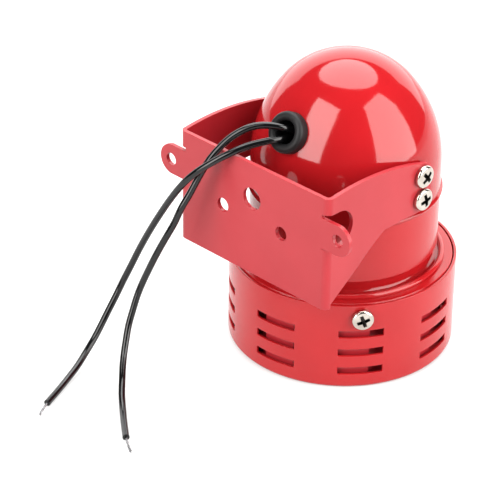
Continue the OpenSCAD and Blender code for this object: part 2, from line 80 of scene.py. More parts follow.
DRUM_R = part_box("slotted_cover")[1].x / MM
DRUM_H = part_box("slotted_cover")[1].z / MM
TUBE_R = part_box("body_tube")[1].x / MM
TUBE_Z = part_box("body_tube")[0].z / MM
CAP_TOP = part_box("dome_cap")[1].z / MM
HALF_W = 34.55  # from the middle to the outside of an arm
COVER_T = 1.0
SLOT_TURN = 142.75  # of the first slot group, counter-clockwise from +X
SLOT_GROUPS = 8
SLOT_ARC = 22.75  # degrees that one slot spans
SLOT_H = 2.75
SLOT_Z = [5.5, 12.85, 20.2]  # each slot's lower edge
INLET_ARC = 46.0
INLET_N = 6
INLET_RINGS = [(9.0, 14.5), (16.5, 22.0)]  # inner and outer radius of each ring of inlets
SEAM_Z = 58.6  # the cap's lower rim
DOME_Z = 69.0  # where the cap's wall starts to curve in
CROWN_R = 29.5
CROWN_Z = CAP_TOP - CROWN_R
SHOULDER_R = (TUBE_R ** 2 + (CROWN_Z - DOME_Z) ** 2 - CROWN_R ** 2) / (2 * (TUBE_R - CROWN_R))
SHOULDER_X = TUBE_R - SHOULDER_R
MEET = degrees(atan2(CROWN_Z - DOME_Z, -SHOULDER_X))  # where shoulder and crown arcs touch
CAP_T = 1.0
GROMMET_TILT = 26.0  # of the grommet's axis above level
# where the grommet's axis leaves the dome
SEAT = (0.0, SHOULDER_X + SHOULDER_R * cos(radians(GROMMET_TILT)),
        DOME_Z + SHOULDER_R * sin(radians(GROMMET_TILT)))
ARM_SCREW_Z = [66.2, 74.9]
COVER_SCREW_Z = 28.0
COVER_SCREWS = 3

# the wires' middle lines, from the terminals through the grommet to the end of the sleeve
WIRE_A = [
    (10, 13.6, 86), (8, 17.5, 85.2), (4.5, 20.8, 84.9), (1.5, 24.4, 85.2), (0.4, 28, 86.2),
    (0, 31.5, 87.5), (2.5, 36.5, 87.2), (5.5, 41, 86.4), (8, 45.5, 85), (10.5, 49.5, 83),
    (14, 53, 80), (18, 55.5, 76), (22, 57, 71), (26.5, 57.5, 64.5), (30.5, 58, 58),
    (34, 59, 51.5), (37.5, 59.5, 45), (40.5, 60.5, 38.5), (42.5, 62, 32.5), (44.5, 64, 26.5),
    (45.5, 66.5, 21), (46, 69.5, 16.5), (46, 73, 12), (45.5, 77, 8), (44.5, 82, 5),
    (42.5, 87.5, 2.8), (40.5, 94, 1.5), (37.5, 101, 1.2), (34.5, 108.5, 1.2)]
WIRE_B = [
    (-10, 13.6, 86), (-8, 17.2, 86.2), (-5, 20.6, 86.6), (-2.2, 24.2, 87.6), (-0.8, 27.8, 89.6),
    (0.4, 31.4, 91.3), (4, 34.5, 92), (7.5, 37.5, 91.5), (10, 41, 90), (12.5, 44, 87.5),
    (14.5, 47, 84), (16.5, 49.5, 80), (18, 51.5, 75.5), (19, 53.5, 71.5), (20, 55.5, 67),
    (21.5, 58, 62.5), (22.5, 59.5, 57.5), (24, 61.5, 53), (26, 63, 48), (27.5, 65, 43),
    (29, 66.5, 38), (30.5, 68, 33), (31, 70, 28.5), (31, 72, 23.5), (31, 74, 19),
    (29.5, 76.5, 15), (28, 79, 11), (25.5, 82, 8), (22.5, 85, 5), (18.5, 89, 2.8),
    (13.5, 93, 1.5), (7.5, 98, 1.2), (1, 103, 1.2)]


def linear(code):
    """A linear RGBA colour from an sRGB hex code."""
    parts = [int(code[i:i + 2], 16) / 255 for i in (0, 2, 4)]
    return tuple(c / 12.92 if c <= 0.04045 else ((c + 0.055) / 1.055) ** 2.4 for c in parts) + (1.0,)


def length(name, description, default, low, high):
    """A property that holds a length."""
    return FloatProperty(name=name, description=description, default=default, min=low, max=high,
                         unit="LENGTH", precision=5)


def colour(name, description, code):
    """A property that holds a colour, with its default given as sRGB hex."""
    return FloatVectorProperty(name=name, description=description, default=linear(code)[:3],
                               subtype="COLOR", size=3, min=0, max=1)


class SirenSizes(bpy.types.PropertyGroup):
    """Sizes that a user may change"""
    sheet_round: length("Sheet edge", "Radius of the paint on the bracket's cut edges",
                        0.00028, 0.0001, 0.0005)
    slot_round: length("Slot edge", "Radius of the paint on the slots' edges", 0.0002, 0.0001, 0.0004)
    head_d: length("Screw head", "Diameter of a bracket screw's head", 0.008, 0.006, 0.009)
    head_h: length("Screw head height", "Height of a bracket screw's head", 0.0024, 0.0015, 0.003)
    grommet_d: length("Grommet", "Outer diameter of the grommet's ring", 0.0143, 0.013, 0.016)
    grommet_hole: length("Grommet hole", "Diameter of the grommet's hole", 0.008, 0.006, 0.009)
    wire_d: length("Wire", "Diameter of a wire over its sleeve", 0.0024, 0.0018, 0.003)
    strand_d: length("Strand", "Diameter of one bare strand", 0.0003, 0.0001, 0.0005)


class SirenColours(bpy.types.PropertyGroup):
    """Colours of the three red paints, each with the shade it takes where it lies thicker"""
    cap_paint: colour("Cap paint", "Red stoved enamel of the cap", "98151A")
    cap_deep: colour("Deep cap paint", "The cap's enamel where it lies thicker", "911317")
    drum_paint: colour("Drum paint", "Red stoved enamel of the tube and the drum", "A3181C")
    drum_deep: colour("Deep drum paint", "The drum's enamel where it lies thicker", "9C1519")
    sheet_paint: colour("Sheet paint", "Red enamel of the bracket", "A0222A")
    sheet_deep: colour("Deep sheet paint", "The bracket's enamel where it lies thicker", "991E26")


# ---------- materials ----------

NOISE_SPAN = {"From Min": 0.3, "From Max": 0.7}  # the part of a noise's range that it mostly fills


def add(tree, kind, sockets=(), **settings):
    """Adds one node with its settings; each socket is given a value or linked from another's output."""
    made = tree.nodes.new(kind)
    for key, value in settings.items():
        setattr(made, key, value)
    for key, value in dict(sockets).items():
        if isinstance(value, bpy.types.NodeSocket):
            tree.links.new(value, made.inputs[key])
        else:
            made.inputs[key].default_value = value
    return made


def start_material(name):
    """Makes an empty material; gives its tree and the object coordinates."""
    material = bpy.data.materials.new(name)
    material.use_nodes = True
    tree = material.node_tree
    tree.nodes.clear()
    return tree, add(tree, "ShaderNodeTexCoord").outputs["Object"]


def skin(tree, tone, shades, wear, rough, grain, depth_mm, **shader_values):
    """The end of every finish: tone mixes two shades, wear sets the roughness and grain lifts the surface."""
    part = add(tree, "ShaderNodeMapRange",
               {"Value": tone.outputs["Fac"], **NOISE_SPAN, "To Min": 0, "To Max": 1})
    shade = add(tree, "ShaderNodeMix", {"Factor": part.outputs["Result"], 6: shades[0], 7: shades[1]},
                data_type="RGBA")
    gloss = add(tree, "ShaderNodeMapRange",
                {"Value": wear.outputs["Fac"], **NOISE_SPAN, "To Min": rough[0], "To Max": rough[1]})
    lifted = add(tree, "ShaderNodeBump", {"Height": grain.outputs["Fac"], "Strength": 1.0,
                                          "Distance": depth_mm * MM})
    shader = add(tree, "ShaderNodeBsdfPrincipled",
                 {"Base Color": shade.outputs[2], "Roughness": gloss.outputs["Result"],
                  "Normal": lifted.outputs["Normal"], **shader_values})
    add(tree, "ShaderNodeOutputMaterial", {"Surface": shader.outputs["BSDF"]})


def enamel(name, paint, deep, peel_mm, peel_depth_mm, rough):
    """Stoved enamel on sheet steel: a saturated red under a smooth, slightly wavy skin."""
    tree, place = start_material(name)
    shades = [(*getattr(bpy.context.scene.siren_colours, key), 1.0) for key in (paint, deep)]
    # the paint lies thicker here and thinner there, in clouds about 18 mm wide
    cloud = add(tree, "ShaderNodeTexNoise", {"Vector": place, "Scale": 1 / (18 * MM), "Detail": 3})
    # orange peel: shallow waves some millimetres wide, left by the drying paint
    peel = add(tree, "ShaderNodeTexNoise",
               {"Vector": place, "Scale": 1 / (peel_mm * MM), "Detail": 1.5, "Roughness": 0.45})
    # handling leaves faint dull patches about 9 mm wide
    patches = add(tree, "ShaderNodeTexNoise", {"Vector": place, "Scale": 1 / (9 * MM), "Detail": 2})
    skin(tree, cloud, shades, patches, (rough * 0.9, rough * 1.12), peel, peel_depth_mm, IOR=1.45)


def metal(name, code, dark_code, rough, grain_mm, grain_depth_mm=0.002, stretch=(1, 1, 1)):
    """Bare or plated metal; stretch above 1 packs its grain closer along an axis, below 1 draws it out."""
    tree, place = start_material(name)
    turned = add(tree, "ShaderNodeMapping", {"Vector": place, "Scale": stretch}).outputs["Vector"]
    grain = add(tree, "ShaderNodeTexNoise",
                {"Vector": turned, "Scale": 1 / (grain_mm * MM), "Detail": 3, "Roughness": 0.6})
    # the shade drifts over patches about 4 mm wide
    tone = add(tree, "ShaderNodeTexNoise", {"Vector": place, "Scale": 1 / (4 * MM), "Detail": 2})
    skin(tree, tone, (linear(code), linear(dark_code)), grain, (rough * 0.75, rough * 1.35), grain,
         grain_depth_mm, Metallic=1.0)


def dull(name, code, light_code, rough, grain_mm, grain_depth_mm, ior=1.5):
    """A non-metal with a matt or satin skin and a fine grain."""
    tree, place = start_material(name)
    grain = add(tree, "ShaderNodeTexNoise",
                {"Vector": place, "Scale": 1 / (grain_mm * MM), "Detail": 3, "Roughness": 0.6})
    # the shade drifts over patches twelve grains wide
    tone = add(tree, "ShaderNodeTexNoise", {"Vector": place, "Scale": 1 / (grain_mm * 12 * MM), "Detail": 2})
    skin(tree, tone, (linear(code), linear(light_code)), grain, (rough * 0.85, rough * 1.15), grain,
         grain_depth_mm, IOR=ior)


def find_material(name):
    """The material of that name, made the first time it is asked for."""
    if name not in bpy.data.materials:
        family, values = FINISHES[name]
        family(name, **values)
    return bpy.data.materials[name]


FINISHES = {
    # cap: high gloss with a broad, very shallow orange peel
    "Gloss red enamel": (enamel, dict(
        paint="cap_paint", deep="cap_deep", peel_mm=2.6, peel_depth_mm=0.01, rough=0.09)),
    # tube and slotted cover: the same paint, a little less smooth
    "Satin gloss red enamel": (enamel, dict(
        paint="drum_paint", deep="drum_deep", peel_mm=2.2, peel_depth_mm=0.008, rough=0.18)),
    # the drum's top plate is as smooth as the cap
    "Glossy drum enamel": (enamel, dict(
        paint="drum_paint", deep="drum_deep", peel_mm=2.4, peel_depth_mm=0.008, rough=0.08)),
    # bracket, port ring and impeller are sprayed flat: the dullest skin and the tightest peel
    "Red enamel on sheet": (enamel, dict(
        paint="sheet_paint", deep="sheet_deep", peel_mm=1.8, peel_depth_mm=0.004, rough=0.33)),
    # nickel plated steel: bright, with soft polishing marks
    "Bright nickel plating": (metal, dict(code="CFC8BE", dark_code="B4ADA3", rough=0.11, grain_mm=0.3)),
    # inside the cross recess: a dark nickel that paints the recess's shade
    "Nickel with painted recess shade": (metal, dict(code="4A4744", dark_code="2E2C2A", rough=0.3, grain_mm=0.3)),
    # zinc plated steel: cooler and duller than nickel
    "Zinc plating": (metal, dict(code="C6CBCF", dark_code="A9B1B8", rough=0.3, grain_mm=0.5)),
    # moulded rubber: nearly black, with a broad soft sheen
    "Moulded black rubber": (dull, dict(
        code="101011", light_code="171718", rough=0.5, grain_mm=0.25, grain_depth_mm=0.004, ior=1.33)),
    # extruded PVC sleeve: black, smooth, with sharp light lines along it
    "Extruded black sleeve": (dull, dict(
        code="050506", light_code="09090A", rough=0.11, grain_mm=0.5, grain_depth_mm=0.001, ior=1.45)),
    # tinned copper: silvery soft metal, drawn lengthways
    "Tinned copper strand": (metal, dict(code="A9A9AA", dark_code="858587", rough=0.2, grain_mm=0.2)),
    # electroplated deep drawn steel of the motor can: the grain runs up it
    "Drawn steel can": (metal, dict(code="B9BCBF", dark_code="9EA2A6", rough=0.32, grain_mm=0.4,
                                    grain_depth_mm=0.003, stretch=(1, 1, 0.2))),
    # pressed ferrite: matt charcoal
    "Ferrite": (dull, dict(code="2A2A2C", light_code="353538", rough=0.7, grain_mm=0.3, grain_depth_mm=0.01)),
    # glass-filled nylon of the end cap: nearly black, with a soft even sheen
    "Moulded nylon": (dull, dict(
        code="17181A", light_code="1F2022", rough=0.5, grain_mm=0.3, grain_depth_mm=0.006)),
    # pressed carbon of the brushes: dark grey with a fine dusty grain
    "Brush carbon": (dull, dict(
        code="202022", light_code="2C2C2E", rough=0.55, grain_mm=0.15, grain_depth_mm=0.004)),
    # hard drawn spring wire: smooth and grey-bright
    "Spring steel": (metal, dict(code="AEB1B3", dark_code="8E9295", rough=0.25, grain_mm=0.2)),
    # stamped brass tabs: yellow, with a soft rolled sheen
    "Stamped brass": (metal, dict(code="D8B45E", dark_code="C19A48", rough=0.24, grain_mm=0.3)),
    # oil-filled sintered bronze with visible pores
    "Sintered bronze": (metal, dict(
        code="B88A4A", dark_code="8C6A3A", rough=0.45, grain_mm=0.15, grain_depth_mm=0.01)),
    # ground shaft steel: bright with fine rings
    "Ground steel": (metal, dict(code="C9CBCD", dark_code="B2B5B8", rough=0.16, grain_mm=0.12,
                                 grain_depth_mm=0.001, stretch=(0.2, 0.2, 3))),
    # stacked laminations: a line every half millimetre
    "Laminated steel": (metal, dict(code="7E8185", dark_code="63666A", rough=0.4, grain_mm=0.5,
                                    grain_depth_mm=0.01, stretch=(0.05, 0.05, 1))),
    # enamelled copper wire wound in layers: reddish brown ridges
    "Enamelled copper winding": (metal, dict(code="B0642E", dark_code="7E3F1C", rough=0.3, grain_mm=0.6,
                                             grain_depth_mm=0.06, stretch=(0.2, 0.2, 1))),
    # turned commutator copper: bright, with fine rings from the tool
    "Turned copper": (metal, dict(code="C98155", dark_code="A8653F", rough=0.22, grain_mm=0.2,
                                  grain_depth_mm=0.002, stretch=(0.1, 0.1, 2))),
}

# ---------- mesh helpers ----------


def arc(cx, cz, r, start, end, steps):
    """Profile points of a circular arc, angles in degrees, both ends included."""
    turns = [radians(start + (end - start) * i / steps) for i in range(steps + 1)]
    return [(cx + r * cos(t), cz + r * sin(t)) for t in turns]


def lathe(profile, steps=180):
    """Turns a closed profile of (radius, height) points in millimetres about the Z axis."""
    bm = bmesh.new()
    verts = [bm.verts.new((x * MM, 0, z * MM)) for x, z in profile]
    edges = [bm.edges.new(pair) for pair in zip(verts, verts[1:] + verts[:1])]
    bmesh.ops.spin(bm, geom=verts + edges, cent=(0, 0, 0), axis=(0, 0, 1), dvec=(0, 0, 0), angle=2 * pi,
                   steps=steps, use_merge=True, use_duplicate=False)
    bmesh.ops.remove_doubles(bm, verts=bm.verts, dist=MERGE)
    bmesh.ops.recalc_face_normals(bm, faces=bm.faces)
    return bm


def linked(name, data):
    """An object of that data, linked to the scene."""
    made = bpy.data.objects.new(name, data)
    bpy.context.scene.collection.objects.link(made)
    return made


def temporary(bm):
    """A linked object that holds a bmesh, for a modifier to work on."""
    mesh = bpy.data.meshes.new("temporary")
    bm.to_mesh(mesh)
    bm.free()
    return linked("temporary", mesh)


def applied(bm, kind, **settings):
    """A new bmesh: bm with one modifier applied to it."""
    held = temporary(bm)
    modifier = held.modifiers.new("Work", kind)
    for key, value in settings.items():
        setattr(modifier, key, value)
    result = held.evaluated_get(bpy.context.evaluated_depsgraph_get()).to_mesh()
    made = bmesh.new()
    made.from_mesh(result)
    bpy.data.objects.remove(held)
    return made


def cut_away(bm, cutter_bm):
    """bm with the cutter's volume taken out of it."""
    cutter = temporary(cutter_bm)
    made = applied(bm, "BOOLEAN", object=cutter, operation="DIFFERENCE", solver="EXACT")
    bpy.data.objects.remove(cutter)
    bmesh.ops.remove_doubles(made, verts=made.verts, dist=MERGE)
    return made


def join(target, source, matrix):
    """Adds a moved copy of the source bmesh to the target."""
    mesh = bpy.data.meshes.new("temporary")
    source.to_mesh(mesh)
    mesh.transform(matrix)
    target.from_mesh(mesh)
    bpy.data.meshes.remove(mesh)


def round_edges(bm, width_mm, segments):
    """Rounds every edge that turns by more than 50 degrees."""
    sharp = [e for e in bm.edges if e.is_manifold and e.calc_face_angle(0) > radians(50)]
    bmesh.ops.bevel(bm, geom=sharp, offset=width_mm * MM, offset_type="OFFSET", segments=segments,
                    profile=0.5, affect="EDGES", clamp_overlap=True, material=-1)


def piece(name, bm, finish, replaced, sharp=40, second=None):
    """Makes a bmesh a piece of the housing, crisp at edges past sharp degrees; second is material 1."""
    for face in bm.faces:
        face.smooth = True
    for edge in bm.edges:
        edge.smooth = edge.calc_face_angle(0) < radians(sharp)
    mesh = bpy.data.meshes.new(name)
    bm.to_mesh(mesh)
    bm.free()
    mesh.materials.append(find_material(finish))
    if second:
        mesh.materials.append(find_material(second))
    made = linked(name, mesh)
    made.modifiers.new("Even shading", "WEIGHTED_NORMAL").keep_sharp = True
    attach(made, "housing")
    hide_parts(*replaced)


def grommet_matrix():
    """Places +Z along the grommet's axis and the origin at its seat."""
    return Matrix.Translation(Vector(SEAT) * MM) @ Matrix.Rotation(radians(GROMMET_TILT - 90), 4, "X")


def drill(r_mm, length_mm, matrix):
    """A cutter for one round hole, centred on the matrix's origin along its Z axis."""
    bm = bmesh.new()
    bmesh.ops.create_cone(bm, cap_ends=True, segments=64, radius1=r_mm * MM, radius2=r_mm * MM,
                          depth=length_mm * MM, matrix=matrix)
    return bm


# ---------- pieces ----------


class SIREN_OT_dome_cap(bpy.types.Operator):
    """Domed cap: a drawn shell with a rolled bead at its rim and a hole for the grommet"""
    bl_idname = "siren.dome_cap"
    bl_label = "Dome Cap"

    def execute(self, context):
        bead = 0.8  # the rolled edge's radius, and how far it stands out
        # above the bead the wall comes back in along half a wave
        rise = [(TUBE_R + bead * (0.5 + 0.5 * cos(pi * t / 6)), SEAM_Z + bead + 1.5 * bead * t / 6)
                for t in range(1, 7)]
        outer = (arc(TUBE_R, SEAM_Z + bead, bead, -90, 0, 6) + rise
                 + arc(SHOULDER_X, DOME_Z, SHOULDER_R, 0, MEET, 12)[0:-1]
                 + arc(0, CROWN_Z, CROWN_R, MEET, 90, 36))
        inner = (arc(0, CROWN_Z, CROWN_R - CAP_T, 90, MEET, 24)[0:-1]
                 + arc(SHOULDER_X, DOME_Z, SHOULDER_R - CAP_T, MEET, 0, 8) + [(TUBE_R - CAP_T, SEAM_Z)])
        hole_r, hole_depth = 5.2, 12
        bm = cut_away(lathe(outer + inner), drill(hole_r, hole_depth, grommet_matrix()))
        piece("dome_cap_shell", bm, "Gloss red enamel", ["dome_cap"])
        return {"FINISHED"}


class SIREN_OT_body_tube(bpy.types.Operator):
    """Body tube: a plain tube whose foot is trimmed and rounded, with a spigot that holds the cap"""
    bl_idname = "siren.body_tube"
    bl_label = "Body Tube"

    def execute(self, context):
        bore, spigot, spigot_top = 31.02, 31.95, 69.5
        foot = 0.45  # radius of the rounded foot
        belt, shoulder = 48, SEAM_Z - 0.05
        profile = ([(bore, TUBE_Z), (TUBE_R - foot, TUBE_Z)]
                   + arc(TUBE_R - foot, TUBE_Z + foot, foot, -90, 0, 5)[1:]
                   + [(TUBE_R, belt), (TUBE_R, shoulder), (spigot, shoulder), (spigot, spigot_top),
                      (bore, spigot_top)])
        piece("body_tube_shell", lathe(profile), "Satin gloss red enamel", ["body_tube"])
        return {"FINISHED"}


class SIREN_OT_drum_base(bpy.types.Operator):
    """Drum base: the drawn top plate with its neck, cove, raised ring and skirt"""
    bl_idname = "siren.drum_base"
    bl_label = "Drum Base"

    def execute(self, context):
        top, sheet, opening = DRUM_H, 1.5, 7
        neck_inside, neck, neck_top, cove = 29.5, 31.0, 50, 1.6
        ring_r, ring_z, ring = 34.6, top + 0.5, 1.1
        skirt, skirt_z, rim = 38.7, 24.2, 0.6
        # the section is one closed line: plate, neck, cove, raised ring, rim, skirt and underside
        profile = ([(opening, top), (neck_inside, top), (neck_inside, neck_top), (neck, neck_top)]
                   + arc(neck + cove, top + cove, cove, 180, 270, 8)
                   + arc(ring_r, ring_z, ring, 207, -27, 16)
                   + [(skirt - rim, top)] + arc(skirt - rim, top - rim, rim, 90, 0, 6)[1:]
                   + [(skirt, skirt_z), (skirt - sheet, skirt_z), (skirt - sheet, top - sheet),
                      (opening, top - sheet)])
        piece("drum_base_plate", lathe(profile), "Glossy drum enamel", ["housing_base"])
        return {"FINISHED"}


class SIREN_OT_slotted_cover(bpy.types.Operator):
    """Slotted cover: a drawn cup with groups of air slots around it and inlet openings in its bottom"""
    bl_idname = "siren.slotted_cover"
    bl_label = "Slotted Cover"

    def execute(self, context):
        sizes = context.scene.siren_sizes
        corner, flat_r = 1.5, 30
        screw_band = {26.5, 30.5}  # rings of edges below and above the screws
        heights = sorted({DRUM_H} | screw_band | {z for s in SLOT_Z for z in (s, s + SLOT_H)}, reverse=True)
        radii = sorted({r for span in INLET_RINGS for r in span}, reverse=True)
        profile = ([(DRUM_R, z) for z in heights] + arc(DRUM_R - corner, corner, corner, 0, -90, 6)
                   + [(flat_r, 0)] + [(r, 0) for r in radii] + [(0, 0)])
        # the spin stops at every opening's two ends, so that each opening is made of whole faces
        stops = set()
        for first, count, span in ((SLOT_TURN, SLOT_GROUPS, SLOT_ARC), (0, INLET_N, INLET_ARC)):
            for i in range(count):
                middle = first + i * 360 / count
                stops |= {round((middle - span / 2) % 360, 4), round((middle + span / 2) % 360, 4)}
        stops = sorted(stops)
        bm = bmesh.new()
        turn = Matrix.Rotation(radians(stops[0]), 4, "Z")
        last = [bm.verts.new(turn @ Vector((x * MM, 0, z * MM))) for x, z in profile]
        last += [bm.edges.new(pair) for pair in zip(last, last[1:])]
        for start, end in zip(stops, stops[1:] + [stops[0] + 360]):
            steps = max(1, round((end - start) / 2))  # two degrees each
            last = bmesh.ops.spin(bm, geom=last, cent=(0, 0, 0), axis=(0, 0, 1), dvec=(0, 0, 0),
                                  angle=radians(end - start), steps=steps, use_merge=False,
                                  use_duplicate=False)["geom_last"]
        bmesh.ops.remove_doubles(bm, verts=bm.verts, dist=2 * MERGE)
        gone = [f for f in bm.faces if self.is_open(f.calc_center_median() / MM)]
        bmesh.ops.delete(bm, geom=gone, context="FACES")
        bmesh.ops.recalc_face_normals(bm, faces=bm.faces)
        outward = max(bm.faces, key=lambda f: f.calc_center_median().xy.length)
        if outward.normal.dot(outward.calc_center_median()) < 0:
            bmesh.ops.reverse_faces(bm, faces=bm.faces)
        bm = applied(bm, "SOLIDIFY", thickness=COVER_T * MM, offset=-1, use_even_offset=True)
        round_edges(bm, sizes.slot_round / MM, 2)
        piece("slotted_cover_cup", bm, "Satin gloss red enamel", ["slotted_cover"])
        return {"FINISHED"}

    @staticmethod
    def is_open(p):
        """True where the sheet is cut away: in a slot of the wall or an inlet of the bottom."""
        angle, radius = degrees(atan2(p.y, p.x)), p.xy.length

        def near(middle, step, half):
            """True within half of a middle that repeats every step degrees."""
            return abs((angle - middle + step / 2) % step - step / 2) < half

        if radius > DRUM_R - COVER_T / 2 and near(SLOT_TURN, 360 / SLOT_GROUPS, SLOT_ARC / 2):
            return any(z < p.z < z + SLOT_H for z in SLOT_Z)
        if p.z < 0.1 and near(0, 360 / INLET_N, INLET_ARC / 2):
            return any(low < radius < high for low, high in INLET_RINGS)
        return False


class SIREN_OT_bracket(bpy.types.Operator):
    """Wall bracket and port ring: the frame's sheet pieces with the soft edges that paint gives them"""
    bl_idname = "siren.bracket"
    bl_label = "Bracket"

    def execute(self, context):
        port_round = 0.2
        for node, name, slot, width in [
                ("bracket", "wall_bracket", "bracket_paint", context.scene.siren_sizes.sheet_round / MM),
                ("stator_ring", "port_ring", "stator_paint", port_round)]:
            bm = bmesh.new()
            bm.from_mesh(NODES[node].data)
            bmesh.ops.remove_doubles(bm, verts=bm.verts, dist=MERGE)
            # the flat faces' loose triangles become whole faces, so that only real edges are rounded
            bmesh.ops.dissolve_limit(bm, angle_limit=radians(0.5), verts=bm.verts, edges=bm.edges)
            round_edges(bm, width, 3)
            piece(name, bm, "Red enamel on sheet", [node])
        return {"FINISHED"}


class SIREN_OT_grommet(bpy.types.Operator):
    """Rubber grommet: a fat smooth ring that follows the dome, with a barrel through the sheet"""
    bl_idname = "siren.grommet"
    bl_label = "Grommet"

    def execute(self, context):
        sizes = context.scene.siren_sizes
        hole, outer = sizes.grommet_hole / 2 / MM, sizes.grommet_d / 2 / MM
        half, crest = (outer - hole) / 2, 1.7
        barrel, flange, end, corner = 5.15, 6.6, -4.2, 0.2
        # from the ring's rim over its crest, down the hole and round the flange behind the sheet
        profile = ([(outer - 0.25, -1.35), (outer, -0.9)] + arc(hole + half, crest, half, 0, 180, 20)
                   + [(hole, end + corner), (hole + corner, end), (flange - corner, end),
                      (flange, end + corner), (flange, -1.9), (barrel, -1.8), (barrel, -1.4)])
        bm = lathe(profile, 96)
        bmesh.ops.transform(bm, matrix=grommet_matrix(), verts=bm.verts)
        piece("rubber_grommet", bm, "Moulded black rubber", ["grommet"], sharp=60)
        return {"FINISHED"}


def pan_head(head_d, head_h, shank_d, reach):
    """One pan head screw along +Z with a tapered cross recess; its head's underside is at the origin."""
    head_r, shank_r = head_d / 2, shank_d / 2
    edge, under = 0.9, 0.3  # radii of the head's upper and lower edge
    crown = 1.3 * head_d  # radius of the domed top
    crown_z = head_h - crown
    side = head_r - edge
    lift = crown_z + sqrt(crown ** 2 - side ** 2)
    profile = ([(0, -reach), (shank_r - 0.4, -reach), (shank_r, -reach + 0.5), (shank_r, 0.0),
                (head_r - under, 0.0)] + arc(head_r - under, under, under, -90, 0, 4)
               + [(head_r, lift - edge)] + arc(side, lift - edge, edge, 0, 78, 8)[1:]
               + arc(0, crown_z, crown, degrees(atan2(sqrt(crown ** 2 - side ** 2), side)), 90, 8))
    bm = lathe(profile, 64)
    # the recess: two flat wedges across each other, each narrower at its foot
    depth, proud, thin = 2.6, 0.5, 0.27
    foot_r, mouth_r = 0.2 * head_d, 0.52 * head_d
    for turn in (0, 90):
        wing = bmesh.new()
        bmesh.ops.create_cone(wing, cap_ends=True, segments=4, radius1=foot_r * MM, radius2=mouth_r * MM,
                              depth=depth * MM, matrix=Matrix.Rotation(radians(45), 4, "Z"))
        place = Matrix.Translation((0, 0, (head_h + proud - depth / 2) * MM))
        shape = Matrix.Rotation(radians(turn), 4, "Z") @ place @ Matrix.Diagonal((1, thin, 1, 1))
        bmesh.ops.transform(wing, matrix=shape, verts=wing.verts)
        bm = cut_away(bm, wing)
    # a face in the middle of the head that lies clearly below its top belongs to the recess, and takes the
    # dark nickel of material 1 as painted shade
    for face in bm.faces:
        middle = face.calc_center_median() / MM
        surface = crown_z + sqrt(crown ** 2 - min(middle.xy.length, side) ** 2)
        if 0.05 < middle.z < surface - 0.12 and middle.xy.length < 0.42 * head_d:
            face.material_index = 1
    return bm


class SIREN_OT_screws(bpy.types.Operator):
    """Pan head screws with cross recesses: two in each arm and three around the cover"""
    bl_idname = "siren.screws"
    bl_label = "Screws"

    def execute(self, context):
        sizes = context.scene.siren_sizes
        head_d, head_h = sizes.head_d / MM, sizes.head_h / MM
        shank_d, arm_reach, cover_reach = 4, 8, 3.5
        arm_turns = iter((12, 40, 65, 28))  # how each recess happens to stand, in degrees
        arm_places = [Matrix.Translation((side * HALF_W * MM, 0, z * MM))
                      @ Matrix.Rotation(radians(90 * side), 4, "Y")
                      @ Matrix.Rotation(radians(next(arm_turns)), 4, "Z")
                      for side in (-1, 1) for z in ARM_SCREW_Z]
        cover_places = [Matrix.Rotation(radians(SLOT_TURN + i * 360 / COVER_SCREWS), 4, "Z")
                        @ Matrix.Translation((DRUM_R * MM, 0, COVER_SCREW_Z * MM))
                        @ Matrix.Rotation(radians(90), 4, "Y") @ Matrix.Rotation(radians(20 + 31 * i), 4, "Z")
                        for i in range(COVER_SCREWS)]
        for name, node, across, reach, places in [
                ("bracket_screw_set", "bracket_screws", head_d, arm_reach, arm_places),
                ("cover_screw_set", "cover_screws", head_d - 0.4, cover_reach, cover_places)]:
            one = pan_head(across, head_h, shank_d, reach)
            group = bmesh.new()
            for place in places:
                join(group, one, place)
            one.free()
            # the second finish paints shade into the cross recesses
            piece(name, group, "Bright nickel plating", [node], second="Nickel with painted recess shade")
        return {"FINISHED"}


def tube_curve(name, routes, diameter, finish, replaced, resolution=8):
    """A curve of one or more open splines through points in metres, with a round section and closed ends."""
    data = bpy.data.curves.new(name, "CURVE")
    data.dimensions = "3D"
    data.bevel_depth = diameter / 2
    data.bevel_resolution = resolution
    data.resolution_u = 6
    data.use_fill_caps = True
    for route in routes:
        spline = data.splines.new("NURBS")
        spline.points.add(len(route) - 1)
        for point, co in zip(spline.points, route):
            point.co = (*co, 1.0)
        spline.order_u = 4
        spline.use_endpoint_u = True
    data.materials.append(find_material(finish))
    made = linked(name, data)
    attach(made, "housing")
    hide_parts(*replaced)
    return made


def strand_run(k, end, ahead, lean, bare):
    """Points of strand k: six turn about a straight seventh, and all spread and lean towards their tips."""
    lay = 0.00029  # metres from the middle strand to the others
    twist, flare_more, uneven, tucked_in = 0.7, 0.35, 0.03, 1
    across = ahead.cross(Vector((0, 0, 1))).normalized()
    radius = 0.0 if k == 6 else lay
    run = []
    for i in range(9):
        s = i / 8
        turn = 2 * pi * (k / 6 + twist * s)
        flare = radius * (1 + flare_more * s * s)
        sideways = across * (cos(turn) * flare + lean * MM * s * s)
        along = (bare + tucked_in) * MM * s * (1 - uneven * (k % 3)) - tucked_in * MM
        run.append(end + ahead * along + sideways + Vector((0, 0, sin(turn) * flare)))
    return run


class SIREN_OT_wires(bpy.types.Operator):
    """Two sleeved wires from the motor through the grommet to their bare, twisted ends"""
    bl_idname = "siren.wires"
    bl_label = "Wires"

    def execute(self, context):
        sizes = context.scene.siren_sizes
        # how far the bare end leans to its side and how long it is, in millimetres
        for letter, route, lean, bare in (("a", WIRE_A, -0.9, 7.2), ("b", WIRE_B, -0.8, 8.4)):
            points = [Vector(p) * MM for p in route]
            ahead = (points[-1] - points[-2]).normalized()
            runs = [strand_run(k, points[-1], ahead, lean, bare) for k in range(7)]
            strands = tube_curve("strands_" + letter, runs, sizes.strand_d, "Tinned copper strand",
                                 ["wire_" + letter + "_strands"], 3)
            wire = tube_curve("sleeve_" + letter, [points], sizes.wire_d, "Extruded black sleeve",
                              ["wire_" + letter])
        return {"FINISHED"}


